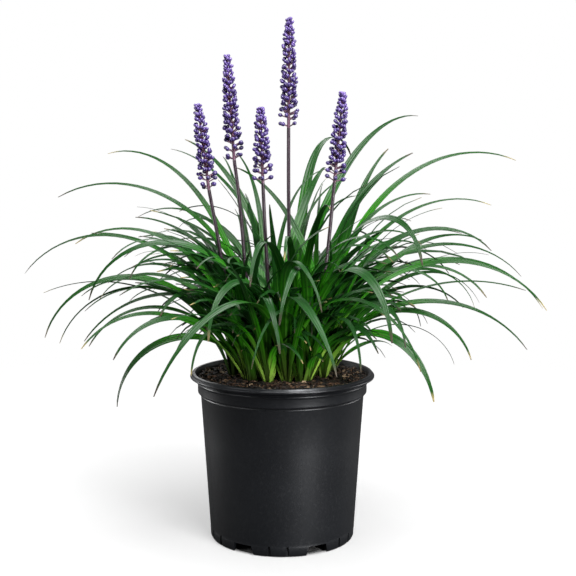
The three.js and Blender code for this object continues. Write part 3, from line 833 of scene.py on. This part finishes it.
def seeded_draws(seed):
    """A stream of seeded draws, the same as the solids' own: draw(low, high) gives the next value."""
    word = 0xFFFFFFFF
    state = seed & word

    def draw(low, high):
        nonlocal state
        state = (state + 0x6D2B79F5) & word
        a = (state ^ state >> 15) * (state | 1) & word
        a ^= a + ((a ^ a >> 7) * (a | 61) & word) & word
        return low + (high - low) * ((a ^ a >> 14) & word) / 2**32

    return draw


def spine(root, blade, height=ROOT_HEIGHT):
    """The middle line of a blade: its points, and the directions across it and out of its upper face."""
    t = np.linspace(0, 1, SPINE_STEPS + 1)

    def direction(t):
        pitch = np.radians(blade.launch + (blade.tip - blade.launch) * t**blade.bend)
        yaw = np.radians(blade.heading + blade.sway * t * t)
        level = np.stack([np.cos(yaw), np.sin(yaw), 0 * yaw], 1)
        along = level * np.cos(pitch)[:, None]
        along[:, 2] = np.sin(pitch)
        return along, np.stack([-np.sin(yaw), np.cos(yaw), 0 * yaw], 1)

    start = math.radians(blade.heading)
    out = ROOT_OFFSET - ROOT_LEAN * blade.launch
    foot = np.array([root[0] + out * math.cos(start), root[1] + out * math.sin(start), height])
    steps = direction(t[:-1] + 0.5 / SPINE_STEPS)[0] * blade.length / SPINE_STEPS
    points = foot + np.vstack([np.zeros(3), np.cumsum(steps, 0)])
    along, level_across = direction(t)
    turn = np.radians(blade.twist * smooth(t / 0.6))[:, None]
    across = level_across * np.cos(turn) + np.cross(along, level_across) * np.sin(turn)
    return points, across, np.cross(along, across)


def both_ways(limit, step):
    """0, step, -step, 2 * step, -2 * step and so on, up to a limit."""
    return sorted(range(-limit, limit + 1, step), key=lambda offset: (abs(offset), -offset))


def corners_of(node):
    """A search tree over the corners of a solid, in millimetres."""
    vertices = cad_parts[node].data.vertices
    tree = kdtree.KDTree(len(vertices))
    for index, vertex in enumerate(vertices):
        tree.insert(vertex.co / MM, index)
    tree.balance()
    return tree


def as_placed(root, blade, corners):
    """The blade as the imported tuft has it, turned aside or lifted until its tip is a corner of the solid.

    None if the tuft hasn't got it.
    """
    near = 0.05
    for lift in both_ways(9, 3):
        for turn in both_ways(18, 2):
            tried = blade._replace(heading=blade.heading + turn, launch=blade.launch + lift)
            tip = spine(root, tried)[0][-1]
            if corners.find(tip)[2] < near:
                return tried
    return None


def drawn_blade(root, draw):
    """A drawn blade of a tuft: outer tufts lean outwards, inner ones any way."""
    outer = math.hypot(*root) > OUTER_TUFT
    outwards = math.degrees(math.atan2(root[1], root[0]))
    return Blade(
        heading=outwards + (draw(-65, 65) if outer else draw(-180, 180)),
        length=draw(130, 230) if outer else draw(150, 240),
        launch=draw(66, 88) if outer else draw(76, 89),
        tip=draw(-75, 10),
        bend=draw(1.1, 2.2),
        sway=draw(-20, 20),
        width=draw(4.5, 6.5),
        twist=draw(-50, 50),
    )


def blades_of(tuft):
    """Every blade of a tuft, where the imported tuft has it."""
    root, listed = TUFTS[tuft]
    corners = corners_of(f"tuft_{tuft + 1}")
    draw = seeded_draws(500 + tuft)
    blades = []
    for row in listed:
        twist = draw(10, 50) * math.cos(math.radians(row[0]))
        blades.append(as_placed(root, Blade(*row, twist), corners))
    for n in range(DRAWN_BLADES):
        draw = seeded_draws(1000 + 20 * tuft + n)
        tries = (as_placed(root, drawn_blade(root, draw), corners) for _ in range(TRIES))
        blades.append(next((blade for blade in tries if blade), None))
    return [blade for blade in blades if blade]


def width_share(t, width):
    """Share of its full width that a blade has at t along it: slim at the base, then a taper to the tip.

    A wide blade keeps its width for longer than a slim one.
    """
    power = mix(*TAPER, (width - SLIM_WIDTH) / (FULL_WIDTH - SLIM_WIDTH))
    return mix(BASE_WIDTH, 1, smooth(t / 0.3)) * (1 - np.clip((t - 0.38) / 0.62, 0, 1) ** power)


def own_share(t, width):
    """The same with a finished tip, which stays a little fuller to its end."""
    blunt = BLUNTNESS * np.clip(1 - t, 0, 1) ** 0.25
    return np.maximum(np.maximum(width_share(t, width), blunt), TIP_SHARE)


def leaf_blank(name, columns, rows):
    """A straight leaf, made once, for every leaf to be laid out from.

    A grid is narrowed row by row to the leaf's outline, with its two halves raised from the keel. It is
    thinner towards its margins and its tip.
    """
    bpy.ops.mesh.primitive_grid_add(x_subdivisions=columns, y_subdivisions=rows, size=1)
    blank = bpy.context.object
    blank.name = name
    resize(blank, anywhere, (BLANK_WIDTH * MM, BLANK_LENGTH * MM, 1))
    bpy.ops.transform.translate(value=(0, BLANK_LENGTH / 2 * MM, 0))
    half = BLANK_WIDTH / 2 * MM
    for column in range(1, columns // 2 + 1):
        share = 2 * column / columns
        pick(blank, lambda place: abs(abs(place.x) - share * half) < 1e-6)
        bpy.ops.transform.translate(value=(0, 0, half * share**1.15))
    for row in range(rows + 1):
        t = row / rows
        y = t * BLANK_LENGTH * MM
        fold = math.radians(mix(*FOLD, smooth(t / 0.5)))
        share = own_share(t, BLANK_WIDTH)
        squeeze = (share * math.cos(fold), 1, share * math.sin(fold))
        resize(blank, lambda place: abs(place.y - y) < 1e-5, squeeze, (0, y, 0))
    close_edit()
    margin = blank.vertex_groups.new(name="margin")
    for vertex in blank.data.vertices:
        t = vertex.co.y / (BLANK_LENGTH * MM)
        outermost = min(1, abs(vertex.co.x) / (half * own_share(t, BLANK_WIDTH)))
        margin.add([vertex.index], mix(1, 0.5, outermost**2) * mix(1, 0.6, t), "REPLACE")
    shape = {"thickness": LEAF_THICKNESS * MM, "offset": 0, "use_even_offset": True}
    apply_modifier(blank, "SOLIDIFY", **shape, material_offset=1, vertex_group="margin")
    blank.vertex_groups.clear()
    soften(blank, 60)
    return blank


def grown(blank, root, blade, height=ROOT_HEIGHT):
    """A copy of the straight leaf, laid along a blade's middle line at its length and width."""
    leaf = copy_of(blank, Matrix.Identity(4))
    mesh = leaf.data
    flat = np.empty(len(mesh.vertices) * 3, np.float32)
    mesh.vertices.foreach_get("co", flat)
    x, y, z = flat.reshape(-1, 3).T / MM
    t = np.clip(y / BLANK_LENGTH, 0, 1)
    station = t * SPINE_STEPS
    low = np.minimum(station.astype(int), SPINE_STEPS - 1)
    share = (station - low)[:, None]
    point, across, up = (mix(line[low], line[low + 1], share) for line in spine(root, blade, height))
    own, blanks = (own_share(t, width) for width in (blade.width, BLANK_WIDTH))
    scale = FULLER * blade.width / BLANK_WIDTH * own / blanks
    placed = point + across * (x * scale)[:, None] + up * (z * scale)[:, None]
    placed = np.clip(placed, *(np.array(corner) / MM for corner in solid_box))
    mesh.vertices.foreach_set("co", (placed * MM).astype(np.float32).ravel())
    mesh.update()
    return leaf


def rolled(blade):
    """The blade with more of its face to the front, where it already turns that way."""
    sideways = math.cos(math.radians(blade.heading))
    if blade.twist * sideways <= 0:
        return blade
    return blade._replace(twist=mix(blade.twist, ROLL * sideways, ROLL_SHARE * abs(sideways)))


def make_tufts():
    broad, slim = leaf_blank("leaf", 4, 32), leaf_blank("slim_leaf", 2, 12)
    for skin in leaf_skins():
        broad.data.materials.append(skin)
        slim.data.materials.append(skin)
    wrapped = sheath()
    draw = random.Random(7)
    for number, (root, _) in enumerate(TUFTS, 1):
        leaves = []
        for blade in blades_of(number - 1):
            leaf = grown(broad, root, rolled(blade))
            set_tone(leaf, draw.uniform(0.05, 0.85))
            leaves.append(leaf)
        finished(joined(f"leaves_{number}", leaves), None, [f"tuft_{number}"])
        finished(crown(f"crown_{number}", root), wrapped)
        filling = [slim_leaf(slim, root, draw, ROOT_HEIGHT) for _ in range(FILL_LEAVES)]
        finished(joined(f"slim_leaves_{number}", filling), None)
    for number, root in enumerate(shoot_places(draw), 1):
        height = soil_height(*root) - 3
        leaves = [slim_leaf(slim, root, draw, height) for _ in range(SHOOT_LEAVES)]
        finished(joined(f"shoot_{number}", leaves), None)
    discard(broad, slim)


def length_share(depth):
    """The share of its drawn length that a slim leaf keeps: the clump is lower at its front."""
    return mix(FRONT_SHARE, BACK_SHARE, min(1, max(0, 0.5 + depth / CLUMP_DEPTH)))


def slim_leaf(blank, root, draw, height):
    outwards = math.degrees(math.atan2(root[1], root[0]))
    blade = Blade(
        heading=outwards + draw.uniform(-110, 110),
        length=draw.triangular(60, 210, 155) * length_share(root[1]),
        launch=draw.uniform(68, 88),
        tip=draw.uniform(-60, 35),
        bend=draw.uniform(1.2, 2.6),
        sway=draw.uniform(-20, 20),
        width=draw.uniform(5.5, 8),
        twist=draw.uniform(-60, 60),
    )
    leaf = grown(blank, root, blade, height)
    set_tone(leaf, draw.uniform(0, 1) ** 1.3)
    return leaf


def shoot_places(draw):
    """Places in the soil that are clear of the crowns, of the flower stems and of each other."""
    taken = [root for root, _ in TUFTS] + [scape[0] for scape in SCAPES]
    places = []
    for _ in range(4000):
        if len(places) == SHOOTS:
            break
        radius, turn = SHOOT_REACH * math.sqrt(draw.random()), draw.uniform(0, 2 * math.pi)
        place = (radius * math.cos(turn), radius * math.sin(turn))
        if all(math.dist(place, other) > SHOOT_SPACING for other in taken):
            taken.append(place)
            places.append(place)
    return places


def crown(name, root):
    """The short stock of wrapped leaf bases that a tuft grows from, fluted where the sheaths overlap."""
    outline = [
        (CROWN_RADIUS - 1, CROWN_BOTTOM + GAP),
        (CROWN_RADIUS - 0.3, ROOT_HEIGHT - 4),
        (CROWN_RADIUS - 1.6, ROOT_HEIGHT),
        (CROWN_RADIUS - 3, ROOT_HEIGHT + 4),
        (CROWN_RADIUS - 4.4, ROOT_HEIGHT + 8),
        (0, ROOT_HEIGHT + 9.5),
    ]
    piece = turned(name, outline, 18)
    resize(piece, lambda place: on_ridge(place, 20, 3), (0.84, 0.84, 1))
    close_edit()
    piece.data.transform(Matrix.Translation((root[0] * MM, root[1] * MM, 0)))
    soften(piece, 60)
    return piece


# -------- flower stems and spikes

# Each scape leans in a plane that faces the front. Here are its place in the soil, then (x, height) for the
# points of its middle line up to the foot of its spike, and for the spike's tip.
SCAPES = [
    ((-35, -9), [(-38, 172), (-50, 232), (-57.5, 276), (-64, 312)], (-73.5, 387)),
    ((-24, -6), [(-25.5, 172), (-32, 236), (-37.5, 302), (-42, 338)], (-48, 429)),
    ((-9, -23), [(-10, 180), (-12, 225), (-15, 280), (-16.7, 318.5)], (-18.5, 383.5)),
    ((6.5, 0), [(6.5, 190), (6, 260), (5.5, 320), (5.5, 366)], (6, 461.5)),
    ((26, -19.5), [(28, 172), (34.5, 220), (39, 255), (45, 319)], (52, 396.5)),
]


def rod(name, points, radii, sides):
    """A round rod along a smooth curve through points, with a radius at each."""
    bpy.ops.curve.primitive_bezier_curve_add(location=(0, 0, 0))
    curve = bpy.context.object
    line = curve.data.splines[0]
    line.bezier_points.add(len(points) - 2)
    for knot, place, radius in zip(line.bezier_points, points, radii):
        knot.co = Vector(place) * MM
        knot.radius = radius
        knot.handle_left_type = knot.handle_right_type = "AUTO"
    curve.data.dimensions = "3D"
    curve.data.bevel_depth = MM
    curve.data.bevel_resolution = sides // 4 - 1
    curve.data.resolution_u = 8
    curve.data.use_fill_caps = True
    settle(curve)
    bpy.ops.object.convert(target="MESH")
    piece = bpy.context.object
    piece.name = name
    return piece


def bud_template():
    """A closed bud one unit long up +Z, slim at its foot, with petals whose seams meet at a blunt point."""
    segments = 12
    bpy.ops.mesh.primitive_uv_sphere_add(segments=segments, ring_count=5, radius=0.5)
    bud = bpy.context.object
    resize(bud, lambda place: 0 < place.z < 0.45 and on_ridge(place, 360 / segments, 2), (0.92, 0.92, 1))
    for below, share in ((-0.1, 0.86), (-0.4, 0.6), (1, 0.84)):
        resize(bud, lambda place: place.z < below, (share, share, 1))
    close_edit()
    soften(bud, 70)
    return bud


def stalk_template():
    """A bud's stalk one unit long and one thick up +Z, swelling where it meets the bud."""
    bpy.ops.mesh.primitive_cylinder_add(vertices=6, radius=0.5, depth=1, location=(0, 0, 0.5))
    stalk = bpy.context.object
    settle(stalk)
    resize(stalk, lambda place: place.z > 0.5, (1.6, 1.6, 1))
    close_edit()
    soften(stalk, 60)
    return stalk


def bud_places(length, draw):
    """Where buds leave the axis of a spike, as (height, turn).

    There are two loose rings at its foot, then bunches of three that go round it.
    """
    places = []
    for foot_height, count in ((1.5, 4), (7.5, 5)):
        start = draw.uniform(0, 360)
        for n in range(count):
            height = foot_height + draw.uniform(-1, 1)
            places.append((height, start + 360 / count * n + draw.uniform(-15, 15)))
    bunch_height, bunch = 11.5, 0
    while bunch_height < 0.97 * length:
        for side in (-1, 0, 1):
            height = bunch_height + draw.uniform(-0.9, 0.9)
            places.append((height, GOLDEN_ANGLE * bunch + BUNCH_SPREAD * side + draw.uniform(-9, 9)))
        bunch_height += mix(*BUNCH_GAP, bunch_height / length)
        bunch += 1
    return places


def make_stem(number, root, path, purple):
    points = [(*root, SCAPE_BOTTOM + GAP), (*root, POT_HEIGHT + 2), *path]
    radii = [SCAPE_RADIUS * mix(1, SCAPE_TAPER, n / (len(points) - 1)) for n in range(len(points))]
    stem = rod(f"scape_{number}_stem", points, radii, 16)
    soften(stem, 60)
    finished(stem, purple, [f"scape_{number}"])


def make_spike(number, top, tip, templates, violet, purple):
    bud, stalk = templates
    along = tip - top
    length = along.length - JOINT
    along.normalize()
    foot = top + along * JOINT
    across = Vector((0, 1, 0)).cross(along).normalized()
    draw = random.Random(40 + number)
    axis_points = [foot + along * length * t for t in (0, 0.35, 0.7, 0.94)]
    stalks, buds = [rod(f"axis_{number}", axis_points, AXIS_RADII, 12)], []
    for height, turn in bud_places(length, draw):
        t = height / length
        loose = height < LOOSE_HEIGHT
        climb = math.radians(mix(*BUD_CLIMB, t * t) + draw.uniform(-7, 7) - LOOSE_DROOP * loose)
        size = mix(*BUD_SIZE, t**1.2) * draw.uniform(0.86, 1.1)
        end = mix(*BUD_REACH, t**2.2) - (1 - loose) * draw.uniform(0, BUD_SINK)
        end -= TOP_NARROWING * max(0, t - TOP_SHARE) / (1 - TOP_SHARE)
        height = min(height, length - end * math.sin(climb) - GAP)
        at = foot + along * height
        level = Matrix.Rotation(math.radians(turn), 3, along) @ across
        outwards = level * math.cos(climb) + along * math.sin(climb)
        facing = outwards.to_track_quat("Z", "Y").to_matrix().to_4x4()
        thick = mix(*STALK_THICKNESS, t)
        stalk_size = Matrix.Diagonal((thick * MM, thick * MM, (end - 0.8 * size) * MM, 1))
        stalks.append(copy_of(stalk, Matrix.Translation(at * MM) @ facing @ stalk_size))
        centre = at + outwards * (end - size / 2)
        made = copy_of(bud, Matrix.Translation(centre * MM) @ facing @ Matrix.Scale(size * MM, 4))
        set_tone(made, min(1, max(0, mix(0.2, 0.8, t**1.5) + draw.uniform(-0.25, 0.25))))
        buds.append(made)
    twigs = joined(f"spike_{number}_stalks", stalks)
    set_tone(twigs, 1)
    finished(twigs, purple)
    finished(joined(f"spike_{number}_buds", buds), violet, [f"raceme_{number}"])


def make_flowers():
    templates = bud_template(), stalk_template()
    violet, purple = flower_bud(), flower_stem()
    for number, (root, line, end) in enumerate(SCAPES, 1):
        *path, tip = [Vector((x, root[1], z)) for x, z in (*line, end)]
        make_stem(number, root, path, purple)
        make_spike(number, path[-1], tip, templates, violet, purple)
    discard(*templates)


# -------- studio


def make_camera():
    """The camera: a long lens a little above the leaves, looking slightly down."""
    image_width = 576  # pixels
    focal_pixels = 1114.6
    axis_pixel = 282.28  # where the pot's axis stands in the picture, from its left edge
    distance, height, pitch = 985.5, 341.8, 6.765
    sensor = 36
    bpy.ops.object.camera_add(location=(0, -distance * MM, height * MM))
    camera = bpy.context.object
    camera.rotation_euler = (math.radians(90 - pitch), 0, 0)
    camera.data.sensor_width = sensor
    camera.data.lens = sensor * focal_pixels / image_width
    camera.data.shift_x = (image_width / 2 - axis_pixel) / image_width
    camera.data.clip_start, camera.data.clip_end = 0.05, 50
    bpy.context.scene.camera = camera


def softbox(name, place, target, size, power):
    bpy.ops.object.light_add(type="AREA", location=place)
    lamp = bpy.context.object
    lamp.name = name
    lamp.data.shape = "RECTANGLE"
    lamp.data.size, lamp.data.size_y = size
    lamp.data.energy = power
    lamp.rotation_euler = (Vector(target) - Vector(place)).to_track_quat("-Z", "Y").to_euler()


def make_world():
    """White to the camera. As a light it is bright behind the plant and dim in front of it."""
    world = bpy.data.worlds.new("studio")
    bpy.context.scene.world = world
    world.use_nodes = True
    tree = world.node_tree
    seen = tree.nodes["Background"]
    seen.inputs["Color"].default_value = (1, 1, 1, 1)
    heading = add(tree, "SeparateXYZ", Vector=add(tree, "TexCoord").outputs["Generated"]).outputs[1]
    strength = rescaled(tree, heading, -0.4, 0.9, 0.03, 0.2)
    lit = add(tree, "Background", Strength=strength)
    mix_shaders(tree, camera_ray(tree), lit, seen, "World Output")


def make_floor():
    """A pale floor that glows to the camera, with faint real shadows. Its glow is weaker near the pot, as
    painted shade, and gone under the pot's foot, as a painted shadow. It fades into the background.
    """
    bpy.ops.mesh.primitive_circle_add(vertices=96, radius=2.0, fill_type="NGON", location=(0, 0, -0.0002))
    floor = bpy.context.object
    floor.name = "floor"
    settle(floor)
    material, tree, surface = new_material("floor", Roughness=0.9, Specular_IOR_Level=0.0)
    surface.inputs["Emission Color"].default_value = (1, 1, 1, 1)
    seen = camera_ray(tree)
    grey = blend(tree, seen, (0.05, 0.05, 0.05, 1), (0.25, 0.25, 0.25, 1))
    tree.links.new(grey, surface.inputs["Base Color"])
    distance = add(tree, "VectorMath", {"operation": "LENGTH"}, Vector=own_place(tree)).outputs["Value"]
    # Painted shadow under the pot's foot and painted shade round it: the glow drops near the pot and is
    # gone under it.
    clear_of_painted_shadow = rescaled(tree, distance, (FOOT_RADIUS - 6) * MM, (FOOT_RADIUS - 1) * MM)
    less_painted_shade_further_off = rescaled(tree, distance, 0.1, 0.45, 0.5, 0.64)
    glow = calculate(tree, "MULTIPLY", calculate(tree, "MULTIPLY", seen, less_painted_shade_further_off), clear_of_painted_shadow)
    tree.links.new(glow, surface.inputs["Emission Strength"])
    fading = add(tree, "MapRange", SOFTLY, Value=distance, From_Min=0.3, From_Max=1.0)
    mix_shaders(tree, fading.outputs[0], surface, add(tree, "BsdfTransparent"), "Material Output")
    floor.data.materials.append(material)


def make_studio():
    make_camera()
    make_world()
    make_floor()
    clump, pot = (0, 0, 0.25), (0, 0, 0.08)
    softbox("overhead", (0.1, -0.2, 1.5), clump, (1.0, 0.8), 28)
    softbox("key", (0.5, -1.05, 1.45), clump, (0.7, 0.7), 46)
    softbox("back", (-0.5, 1.3, 1.0), clump, (1.0, 0.8), 9)
    softbox("strip", (0.6, -0.84, 0.16), pot, (0.22, 0.3), 8.5)
    softbox("left_edge", (-0.9, 0.35, 0.14), pot, (0.3, 0.3), 3.5)
    softbox("right_edge", (0.9, 0.3, 0.14), pot, (0.3, 0.3), 2)
    softbox("fill", (-1.4, -0.9, 0.8), clump, (0.8, 1.0), 6)
    bpy.context.scene.view_settings.view_transform = "Standard"


# -------- the plant in its pot

bpy.ops.object.select_all(action="DESELECT")
make_pot()
make_soil()
chips = bark_chip()
scattered("bark_chips", 900, [(3, 7.5), (1.6, 3.6), (0.9, 2)], 11, chips)
scattered("bark_crumbs", 1600, [(1.2, 3), (0.8, 1.8), (0.7, 1.4)], 23, chips)
make_tufts()
make_flowers()
make_studio()
